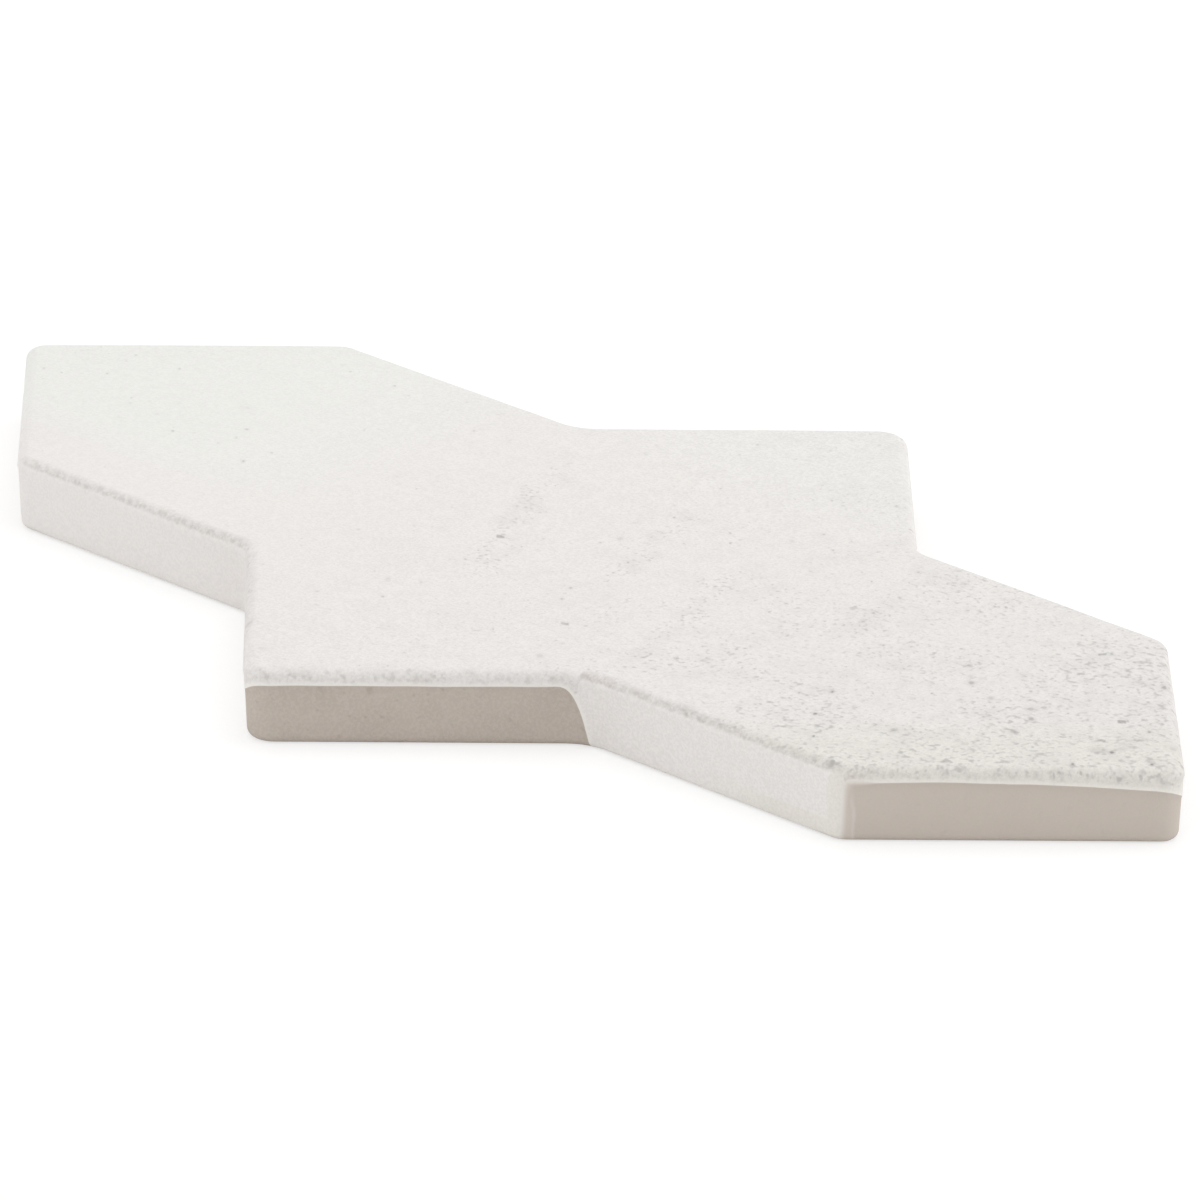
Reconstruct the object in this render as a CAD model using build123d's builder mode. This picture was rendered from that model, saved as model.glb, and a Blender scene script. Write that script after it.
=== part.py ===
from build123d import *
import os
from math import atan2, ceil, degrees, sqrt

# One pressed and fired porcelain tile with a terracotta look, in millimetres.
# In plan it is a long star: a band with a square point at each end, crossed by a diamond whose
# two points stand out of the long sides. Tiles of this outline interlock, because a shoulder of
# one fills the throat of the next. The tile lies on its back with its glazed face up. The origin
# is at the middle of the back and +X runs along the band.

# Plan
RUN = 45.0  # every straight run of the outline, between its sharp corners
END_TIP_RADIUS = 3.0  # square points at the two ends of the band
SIDE_TIP_RADIUS = 4.2  # square points of the diamond
SHOULDER_RADIUS = 4.0  # blunt corners where an end point widens into the band
THROAT_RADIUS = 6.8  # inside corners between the band and the diamond

# Section
THICKNESS = 10.7  # from the back to the face
DRAFT = 0.5  # how far the sides lean in from the face to the back, to leave the press mould
ARRIS_RADIUS = 1.7  # soft edge round the face
HEEL_RADIUS = 1.2  # rounded edge round the back

# Keyed back, which the adhesive grips
RIM_WIDTH = 6.6  # flat border round the back
KEY_PITCH = 11.7  # from one rib of the waffle to the next
RIB_WIDTH = 2.4  # flat ribs between the pockets
KEY_DEPTH = 0.7  # depth of the pockets
KEY_TAPER = 20.0  # lean of the pockets' walls, in degrees

# Sharp corners of one quarter. The points are square and stand on the axes, so their runs
# cross the axes at 45 degrees.
REACH = RUN / sqrt(2)
END_TIP = (2 * REACH + RUN, 0)
SHOULDER = (REACH + RUN, REACH)
THROAT = (REACH, REACH)
SIDE_TIP = (0, 2 * REACH)
CORNER_RADII = {
    END_TIP: END_TIP_RADIUS,
    SHOULDER: SHOULDER_RADIUS,
    THROAT: THROAT_RADIUS,
    SIDE_TIP: SIDE_TIP_RADIUS,
}
SAME_PLACE = 1e-4

os.makedirs("parts", exist_ok=True)


def mirrored_corners(builder, point):
    """The corners of a sketch that stand where a corner of its first quarter is mirrored to."""
    x, y = point
    return builder.vertices().filter_by(
        lambda corner: abs(abs(corner.X) - x) < SAME_PLACE and abs(abs(corner.Y) - y) < SAME_PLACE
    )


# Outline of the face
with BuildSketch() as outline:
    with BuildLine():
        Polyline(END_TIP, SHOULDER, THROAT, SIDE_TIP)
        mirror(about=Plane.YZ)
        mirror(about=Plane.XZ)
    make_face()
    for corner, radius in CORNER_RADII.items():
        fillet(mirrored_corners(outline, corner), radius=radius)

# Border of the keyed part of the back
with BuildSketch() as border:
    add(outline.sketch)
    offset(amount=-(DRAFT + RIM_WIDTH), mode=Mode.REPLACE)

# Pockets between the ribs, square to the points and cut off at the border. One that is left
# narrower than a rib is not pressed.
pocket_side = KEY_PITCH - RIB_WIDTH
rows = 2 * ceil(END_TIP[0] / KEY_PITCH)
with BuildSketch() as pockets:
    with Locations(Rotation(0, 0, 45)):
        with GridLocations(KEY_PITCH, KEY_PITCH, rows, rows):
            Rectangle(pocket_side, pocket_side)
    add(border.sketch, mode=Mode.INTERSECT)
    add(pockets.faces().filter_by(lambda pocket: pocket.area < RIB_WIDTH * pocket_side), mode=Mode.SUBTRACT)

with BuildPart() as tile:
    # Body, widest at the face and narrower at the back, with its edges softened
    with BuildSketch(Plane.XY.offset(THICKNESS)):
        add(outline.sketch)
    extrude(amount=-THICKNESS, taper=degrees(atan2(DRAFT, THICKNESS)))
    fillet(tile.faces().sort_by(Axis.Z)[-1].edges(), radius=ARRIS_RADIUS)
    fillet(tile.faces().sort_by(Axis.Z)[0].edges(), radius=HEEL_RADIUS)
    # Key of the back
    add(pockets.sketch)
    extrude(amount=KEY_DEPTH, taper=KEY_TAPER, mode=Mode.SUBTRACT)

tile.part.label = "tile"
export_step(tile.part, "parts/tile.step")
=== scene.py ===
"""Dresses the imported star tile: a matt white glaze over a bare pressed clay body, in soft studio light."""

import logging
import math
from dataclasses import dataclass, field
from enum import Enum
from typing import Any, NamedTuple

import bmesh
import bpy
import numpy as np
from mathutils import Matrix, Vector, geometry, kdtree, noise


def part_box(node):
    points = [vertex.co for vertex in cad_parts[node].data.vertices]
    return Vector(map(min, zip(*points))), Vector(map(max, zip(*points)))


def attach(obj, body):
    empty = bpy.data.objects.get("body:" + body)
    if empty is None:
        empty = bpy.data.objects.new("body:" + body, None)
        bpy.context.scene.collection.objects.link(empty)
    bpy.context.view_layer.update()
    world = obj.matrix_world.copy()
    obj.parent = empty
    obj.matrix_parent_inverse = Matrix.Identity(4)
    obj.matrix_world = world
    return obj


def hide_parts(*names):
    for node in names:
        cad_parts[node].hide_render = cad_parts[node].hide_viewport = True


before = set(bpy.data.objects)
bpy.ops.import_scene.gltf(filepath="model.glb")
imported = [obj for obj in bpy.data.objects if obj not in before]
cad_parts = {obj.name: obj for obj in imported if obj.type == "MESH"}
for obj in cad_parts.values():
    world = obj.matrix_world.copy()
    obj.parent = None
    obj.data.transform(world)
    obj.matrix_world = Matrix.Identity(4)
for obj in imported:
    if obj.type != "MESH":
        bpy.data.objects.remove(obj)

MM = 0.001
ROOT_TWO = math.sqrt(2)
# Triangles with less area than this are left out, and points closer than this, in millimetres, are one
SLIVER = 1e-5 * MM * MM
SAME_PLACE = 1e-6
LOG = logging.getLogger("star_tile")

Colour = tuple[float, float, float]
Range = tuple[float, float]
Step = tuple[float, float, float, float]


def smooth_step(values: np.ndarray, low: float, high: float) -> np.ndarray:
    """Rises smoothly from 0 at low to 1 at high, at each value."""
    share = np.clip((values - low) / (high - low), 0.0, 1.0)
    return share * share * (3.0 - 2.0 * share)


def ripple(points: np.ndarray, wavelength: float, seed: float) -> np.ndarray:
    """Smooth noise from about -1 to 1 at each point, in a pattern that the seed moves."""
    shift = Vector((seed, 1.7 * seed, -0.6 * seed))
    return np.array([noise.noise(Vector((*row, 0.0)[:3]) / wavelength + shift) for row in points.tolist()])


class Swell(NamedTuple):
    """One size of swell in an uneven surface.

    Attributes:
        wavelength: Size of one swell.
        height: How far it rises and falls.
        seed: Moves the pattern, so that two sizes differ.
    """

    wavelength: float
    height: float
    seed: float


def swelling(points: np.ndarray, swells: tuple[Swell, ...]) -> np.ndarray:
    """Height of some sizes of swell together, at each point."""
    return sum(swell.height * ripple(points, swell.wavelength, swell.seed) for swell in swells)


def moved_in(loop: np.ndarray, amount: float) -> np.ndarray:
    """A counter-clockwise loop with all its sides moved in by the same amount.

    Args:
        loop: Corners of the loop in order.
        amount: How far its sides move.

    Returns:
        The smaller loop.
    """
    ahead = np.roll(loop, -1, axis=0) - loop
    ahead /= np.linalg.norm(ahead, axis=1)[:, None]
    inward = np.stack([-ahead[:, 1], ahead[:, 0]], axis=1)
    middle = inward + np.roll(inward, 1, axis=0)
    return loop + middle * (2 * amount / np.sum(middle * middle, axis=1))[:, None]


def plan_tree(points: np.ndarray) -> kdtree.KDTree:
    """A tree that finds the nearest of some points in a plane.

    Args:
        points: The points, one row of two each.

    Returns:
        The tree, with the points' numbers.
    """
    tree = kdtree.KDTree(len(points))
    for index, (x, y) in enumerate(points.tolist()):
        tree.insert((x, y, 0.0), index)
    tree.balance()
    return tree


def inside(points: np.ndarray, loop: np.ndarray) -> np.ndarray:
    """Tells which points lie inside a closed loop.

    Args:
        points: Places in plan, one row each.
        loop: Corners of the loop in order.

    Returns:
        True for each point that is inside.
    """
    x, y = points[:, 0], points[:, 1]
    found = np.zeros(len(points), bool)
    for (ax, ay), (bx, by) in zip(loop, np.roll(loop, -1, axis=0)):
        if ay == by:
            continue
        crosses = ((ay > y) != (by > y)) & (x < (bx - ax) * (y - ay) / (by - ay) + ax)
        found ^= crosses
    return found


class Corner(Enum):
    """Kinds of corner round the star."""

    END_TIP = "end tip"
    SHOULDER = "shoulder"
    THROAT = "throat"
    SIDE_TIP = "side tip"


class Coat(Enum):
    """How far the glaze runs down a side."""

    LIP = "over the arris only"
    FULL = "down to the heel"


class Track(NamedTuple):
    """The outline as a row of columns, each one place on it.

    Attributes:
        points: Place of each column in plan.
        normals: Outward direction of each column.
        travel: Distance of each column along the outline.
        corners: Distance of each sharp corner along the outline, and its kind.
        length: Length of the whole outline.
    """

    points: np.ndarray
    normals: np.ndarray
    travel: np.ndarray
    corners: list[tuple[float, Corner]]
    length: float


@dataclass
class StarOutline:
    """Plan of the tile: twelve equal runs between rounded corners."""

    run: float
    radii: dict[Corner, float]
    straight_step: float = 0.55 * MM
    arc_step: float = 0.28 * MM
    fewest_arc_steps: int = 6
    fewest_straight_steps: int = 2

    def corners(self) -> list[tuple[Corner, np.ndarray]]:
        """The sharp corners in order, from the right-hand end tip, counter-clockwise seen from above.

        Returns:
            Kind and place of each corner.
        """
        reach = self.run / ROOT_TWO
        quarter = [
            (Corner.END_TIP, (2 * reach + self.run, 0.0)),
            (Corner.SHOULDER, (reach + self.run, reach)),
            (Corner.THROAT, (reach, reach)),
            (Corner.SIDE_TIP, (0.0, 2 * reach)),
        ]
        left = [(kind, (-x, y)) for kind, (x, y) in quarter[2::-1]]
        top = quarter + left
        bottom = [(kind, (x, -y)) for kind, (x, y) in top[-2:0:-1]]
        return [(kind, np.array(place)) for kind, place in top + bottom]

    def trace(self) -> Track:
        """Walks round the outline, with arcs at the corners.

        Returns:
            The columns of the outline.
        """
        marks = self.corners()
        points: list[np.ndarray] = []
        normals: list[np.ndarray] = []
        middles: list[tuple[int, Corner]] = []
        leave = None
        first = None
        for index, (kind, corner) in enumerate(marks):
            before, after = marks[index - 1][1], marks[(index + 1) % len(marks)][1]
            ahead, on = (corner - before) / self.run, (after - corner) / self.run
            turn = math.atan2(ahead[0] * on[1] - ahead[1] * on[0], float(ahead @ on))
            radius = self.radii[kind]
            start = corner - ahead * radius * math.tan(abs(turn) / 2)
            if leave is not None:
                self._straight(leave, start, points, normals)
            else:
                first = start
            bend = math.copysign(radius, turn)
            outward = np.array([ahead[1], -ahead[0]])
            centre = start - outward * bend
            count = max(self.fewest_arc_steps, 2 * round(abs(turn) * radius / self.arc_step / 2))
            middles.append((len(points) + count // 2, kind))
            for angle in np.linspace(0.0, turn, count + 1):
                turned = np.array([
                    outward[0] * math.cos(angle) - outward[1] * math.sin(angle),
                    outward[0] * math.sin(angle) + outward[1] * math.cos(angle),
                ])
                points.append(centre + turned * bend)
                normals.append(turned)
            leave = points[-1]
        self._straight(leave, first, points, normals)
        places = np.array(points)
        steps = np.linalg.norm(np.roll(places, -1, axis=0) - places, axis=1)
        travel = np.concatenate([[0.0], np.cumsum(steps)[:-1]])
        corners = [(float(travel[at]), kind) for at, kind in middles]
        return Track(places, np.array(normals), travel, corners, float(steps.sum()))

    def _straight(self, start: np.ndarray, end: np.ndarray, points: list, normals: list) -> None:
        """Adds the columns of a straight stretch, without its two ends.

        Args:
            start: Where the stretch starts.
            end: Where it ends.
            points: Places of the columns so far.
            normals: Outward directions of the columns so far.
        """
        length = float(np.linalg.norm(end - start))
        ahead = (end - start) / length
        count = max(self.fewest_straight_steps, round(length / self.straight_step))
        for share in np.linspace(0.0, 1.0, count + 1)[1:-1]:
            points.append(start + ahead * length * share)
            normals.append(np.array([ahead[1], -ahead[0]]))


class Row(NamedTuple):
    """One row of the edge, the same all round.

    Attributes:
        inset: Distance in from the outline.
        height: Height above the back.
        over: Distance over the edge, from where the arris leaves the face.
    """

    inset: float
    height: float
    over: float


@dataclass
class EdgeSection:
    """Section of the tile's edge: face, soft arris, drafted side and rounded heel."""

    thickness: float
    draft: float = 0.5 * MM
    arris: float = 1.7 * MM
    heel: float = 1.2 * MM
    face_band: tuple[float, ...] = (0.95 * MM, 0.6 * MM, 0.3 * MM)
    arris_rows: int = 10
    side_step: float = 0.36 * MM
    heel_rows: int = 6

    def rows(self) -> list[Row]:
        """The rows from the face over the edge to the back.

        Returns:
            The rows in order.
        """
        lean = math.atan2(self.draft, self.thickness)
        rows = [Row(self.arris + band, self.thickness, -band) for band in self.face_band]
        for angle in np.linspace(0.0, math.pi / 2 + lean, self.arris_rows + 1):
            inset = self.arris * (1 - math.sin(angle))
            height = self.thickness - self.arris * (1 - math.cos(angle))
            rows.append(Row(inset, height, self.arris * angle))
        top, low = rows[-1], self.heel
        count = round((top.height - low) / self.side_step)
        for share in np.linspace(0.0, 1.0, count + 1)[1:]:
            height = top.height + (low - top.height) * share
            inset = self.draft * (1 - height / self.thickness)
            rows.append(Row(inset, height, top.over + top.height - height))
        side = rows[-1]
        for angle in np.linspace(0.0, math.pi / 2, self.heel_rows + 1)[1:]:
            inset = side.inset + self.heel * (1 - math.cos(angle))
            rows.append(Row(inset, self.heel * (1 - math.sin(angle)), side.over + self.heel * angle))
        return rows


@dataclass
class GlazeLine:
    """Where the glaze ends on the sides of the tile.

    The runs along the band are coated down to the heel. The slanting runs are coated over the arris
    only, and the glaze ends there in a lip. It comes down in a curve at each throat, and at each
    shoulder it thins out into a film. Just past each tip it has run down a little.
    """

    full: float
    lip: float = 2.2 * MM
    end_rise: float = 0.25 * MM
    end_fall: float = 1.0 * MM
    side_slope: float = -0.2 * MM
    throat_before: float = 3.8 * MM
    throat_after: float = 0.55 * MM
    throat_bend: float = 2.5
    shoulder_wrap: float = 0.9 * MM
    shoulder_fade: float = 0.5 * MM
    film_width: float = 2.1 * MM
    run_down: float = 1.9 * MM
    run_spread: float = 3.1 * MM
    run_tail: float = 11.0 * MM
    run_past: dict[Corner, float] = field(
        default_factory=lambda: {Corner.END_TIP: 3.2 * MM, Corner.SIDE_TIP: -3.5 * MM}
    )
    rise_from: Range = (0.0, 0.35)
    rise_to: Range = (-1.0, -0.5)
    fall_bend: float = 2.5
    side_level: float = 0.55
    soft_reach: Range = (-6.0 * MM, -2.5 * MM)
    no_film: float = -5.0 * MM
    waver: tuple[Swell, ...] = (Swell(14 * MM, 0.09 * MM, 3.1), Swell(4.5 * MM, 0.054 * MM, 8.4))
    crisp: float = 0.06 * MM
    soft: float = 0.70 * MM
    trace_step: float = 0.05 * MM

    def measure(self, track: Track) -> tuple[np.ndarray, np.ndarray, np.ndarray]:
        """Follows the end of the glaze round the outline.

        Args:
            track: The outline's columns.

        Returns:
            Depth of the glaze below the face, how softly it ends, and how far each column lies
            inside a shoulder's film, in metres.
        """
        depth = np.zeros(len(track.travel))
        soft = np.full(len(track.travel), self.crisp)
        film = np.full(len(track.travel), self.no_film)
        count = len(track.corners)
        for index, (start, kind) in enumerate(track.corners):
            end, next_kind = track.corners[(index + 1) % count]
            along = (track.travel - start) % track.length
            span = (end - start) % track.length
            here = along < span
            back_along = span - along
            coat = Coat.FULL if {kind, next_kind} == {Corner.SHOULDER, Corner.THROAT} else Coat.LIP
            sign, pick = (1.0, np.maximum) if coat is Coat.LIP else (-1.0, np.minimum)
            values = np.full(len(depth), self.lip if coat is Coat.LIP else self.full)
            for near, distance in ((kind, along), (next_kind, back_along)):
                values = pick(values, self._end(near, sign * distance))
                if near is Corner.SHOULDER:
                    reach = smooth_step(-np.abs(distance), *self.soft_reach)
                    soft = np.where(here, soft + reach * (self.soft - self.crisp), soft)
                    if coat is Coat.LIP:
                        film = np.where(here, np.maximum(film, self.film_width - distance), film)
            if coat is Coat.LIP:
                to_tip = along if kind in (Corner.SHOULDER, Corner.THROAT) else back_along
                share = np.clip(to_tip / span, 0.0, 1.0)
                if Corner.END_TIP in (kind, next_kind):
                    values = values + self._end_run(share)
                else:
                    values = values + self.side_slope * (self.side_level - share)
            depth = np.where(here, values, depth)
        return depth + swelling(track.points, self.waver) + self._runs(track), soft, film

    def _end(self, kind: Corner, distance: np.ndarray) -> np.ndarray:
        """Depth of the glaze near one end of a run.

        Args:
            kind: Corner at that end.
            distance: Distance from it along the run, negative on a fully coated run.

        Returns:
            The depth at each column.
        """
        drop = self.full - self.lip
        if kind is Corner.THROAT:
            curve = self.throat_before + self.throat_after
            share = np.clip((self.throat_before - distance) / curve, 0.0, 1.0)
            return self.lip + drop * share ** self.throat_bend
        if kind is Corner.SHOULDER:
            wrap, fade = self.shoulder_wrap, self.shoulder_fade / 2
            return self.lip + drop * smooth_step(-distance, -wrap - fade, -wrap + fade)
        return np.full(len(distance), self.lip)

    def _runs(self, track: Track) -> np.ndarray:
        """How far the glaze has run down past the tips, dying away along the run beyond.

        Args:
            track: The outline's columns.

        Returns:
            The added depth at each column.
        """
        down = np.zeros(len(track.travel))
        for at, kind in track.corners:
            if kind in self.run_past:
                off = track.travel - at - self.run_past[kind]
                off = (off + track.length / 2) % track.length - track.length / 2
                spread = np.where(off * self.run_past[kind] > 0.0, self.run_tail, self.run_spread)
                down += self.run_down * np.exp(-((off / spread) ** 2))
        return down

    def _end_run(self, share: np.ndarray) -> np.ndarray:
        """Wave of the lip along an end point's run: up a little past the shoulder, down to the tip."""
        rise = smooth_step(share, *self.rise_from) * smooth_step(-share, *self.rise_to)
        return self.end_fall * share ** self.fall_bend - self.end_rise * rise

    def line(self, track: Track, depth: np.ndarray, far: float) -> kdtree.KDTree:
        """The end of the glaze as close points on the unrolled sides.

        Args:
            track: The outline's columns.
            depth: Depth of the glaze at each column.
            far: Largest distance of interest.

        Returns:
            A tree of the points, by distance along the outline and depth.
        """
        travel = np.concatenate([track.travel - track.length, track.travel, track.travel + track.length])
        depths = np.tile(depth, 3)
        walk = np.concatenate([[0.0], np.cumsum(np.hypot(np.diff(travel), np.diff(depths)))])
        fine = np.arange(0.0, walk[-1], self.trace_step)
        points = np.column_stack([np.interp(fine, walk, travel), np.interp(fine, walk, depths)])
        return plan_tree(points[(points[:, 0] > -2 * far) & (points[:, 0] < track.length + 2 * far)])


@dataclass
class KeyedBack:
    """Waffle of shallow pockets that the adhesive grips."""

    rim: float = 6.6 * MM
    pitch: float = 11.7 * MM
    rib: float = 2.4 * MM
    depth: float = 0.7 * MM
    taper: float = math.radians(20)
    shortest_side: float = 0.3 * MM
    straight_turn: float = 1e-3

    def pockets(self, border: np.ndarray) -> list[np.ndarray]:
        """The mouths of the pockets, square to the tips and cut off at the border.

        Args:
            border: Loop in plan, within which the back is keyed.

        Returns:
            One loop for each pocket.
        """
        side = self.pitch - self.rib
        across = np.array([1.0, 1.0]) / ROOT_TWO
        up = np.array([-1.0, 1.0]) / ROOT_TWO
        reach = math.ceil(float(np.abs(border).max()) / self.pitch)
        loops = []
        for column in range(-reach, reach):
            for level in range(-reach, reach):
                loop = border
                for axis, index in ((across, column), (up, level)):
                    low = (index + 0.5) * self.pitch - side / 2
                    loop = self._cut(loop, axis, low)
                    loop = self._cut(loop, -axis, -low - side)
                if len(loop) > 2 and self._area(loop) > self.rib * side:
                    loops.append(self._thin(loop))
        return loops

    def floor_of(self, mouth: np.ndarray) -> np.ndarray:
        """The floor of a pocket, smaller than its mouth by the lean of its walls."""
        return moved_in(mouth, self.depth * math.tan(self.taper))

    @staticmethod
    def _cut(loop: np.ndarray, axis: np.ndarray, low: float) -> np.ndarray:
        """Keeps the part of a loop whose distance along an axis is over a limit.

        Args:
            loop: Corners of the loop in order.
            axis: Direction to measure along.
            low: The limit.

        Returns:
            Corners of the part that is kept.
        """
        kept = []
        heights = loop @ axis - low
        for index in range(len(loop)):
            here, there = heights[index - 1], heights[index]
            if (here < 0) != (there < 0):
                kept.append(loop[index - 1] + (loop[index] - loop[index - 1]) * here / (here - there))
            if there >= 0:
                kept.append(loop[index])
        return np.array(kept).reshape(-1, 2)

    @staticmethod
    def _area(loop: np.ndarray) -> float:
        """Area inside a counter-clockwise loop."""
        x, y = loop[:, 0], loop[:, 1]
        return float(np.sum(x * np.roll(y, -1) - y * np.roll(x, -1)) / 2)

    def _thin(self, loop: np.ndarray) -> np.ndarray:
        """Leaves out corners that lie on a straight line or nearly on each other.

        Args:
            loop: Corners of the loop in order.

        Returns:
            The corners that are left.
        """
        loop = loop[np.linalg.norm(loop - np.roll(loop, 1, axis=0), axis=1) > self.shortest_side]
        ahead = np.roll(loop, -1, axis=0) - loop
        before = np.roll(ahead, 1, axis=0)
        turn = np.abs(ahead[:, 0] * before[:, 1] - ahead[:, 1] * before[:, 0])
        straight = turn < self.straight_turn * np.linalg.norm(ahead, axis=1) * np.linalg.norm(before, axis=1)
        return loop[~straight]


@dataclass
class FaceRelief:
    """Uneven surface of the face, as a hand-pressed tile has it."""

    crown: float = 0.2 * MM
    swells: tuple[Swell, ...] = (
        Swell(34 * MM, 0.10 * MM, 1.3), Swell(12 * MM, 0.05 * MM, 4.9), Swell(4.5 * MM, 0.022 * MM, 7.7)
    )
    edge: tuple[Swell, ...] = (Swell(5.5 * MM, 0.10 * MM, 11.2),)

    def sag(self, places: np.ndarray, half_length: float) -> np.ndarray:
        """How far the face falls away towards the end tips."""
        return self.crown * (places[:, 0] / half_length) ** 2

    def height(self, places: np.ndarray) -> np.ndarray:
        """Height of the swells at places in plan."""
        return swelling(places, self.swells)

    def wobble(self, track: Track) -> np.ndarray:
        """How far the arris wanders in and out along the outline."""
        return swelling(track.points, self.edge)


class Patches(NamedTuple):
    """Soft patches of noise.

    Attributes:
        fineness: Patches in a metre.
        detail: Finer levels of the noise.
        roughness: How much the finer levels count.
        low: Noise at which a patch starts.
        high: Noise at which it is full.
    """

    fineness: float
    detail: float
    roughness: float
    low: float
    high: float


class Spots(NamedTuple):
    """One kind of spot in the glaze.

    Attributes:
        fineness: Spots in a metre.
        cover: Cover of a clean stretch.
        crowding: What a crowd adds to the cover.
        softness: How much the spots are blurred, where their group asks for it.
    """

    fineness: float
    cover: float
    crowding: float
    softness: float | None = None


class Relief(NamedTuple):
    """Bump of a finish: how strongly it shows, and its height."""

    strength: float
    height: float


@dataclass(frozen=True)
class Value:
    """An output of a node, with plain arithmetic."""

    wiring: "Wiring"
    socket: bpy.types.NodeSocket

    def __add__(self, other: Any) -> "Value":
        """Sum."""
        return self.wiring.math("ADD", self, other)

    def __sub__(self, other: Any) -> "Value":
        """Difference."""
        return self.wiring.math("SUBTRACT", self, other)

    def __rsub__(self, other: float) -> "Value":
        """Difference from a plain number."""
        return self.wiring.math("SUBTRACT", other, self)

    def __mul__(self, other: Any) -> "Value":
        """Product."""
        return self.wiring.math("MULTIPLY", self, other)

    def __abs__(self) -> "Value":
        """Size without the sign."""
        return self.wiring.math("ABSOLUTE", self)

    def larger(self, other: "Value") -> "Value":
        """The larger of two values."""
        return self.wiring.math("MAXIMUM", self, other)

    def span(self, low: Any, high: Any, start: Any = 0.0, end: Any = 1.0) -> "Value":
        """Takes the value from one range to another by a smooth step.

        Args:
            low: Value at which the step starts.
            high: Value at which it ends.
            start: Result before the step.
            end: Result after it.

        Returns:
            The result.
        """
        made = self.wiring.node("ShaderNodeMapRange", interpolation_type="SMOOTHSTEP")
        self.wiring.fill(made, Value=self, From_Min=low, From_Max=high, To_Min=start, To_Max=end)
        return Value(self.wiring, made.outputs["Result"])


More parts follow.
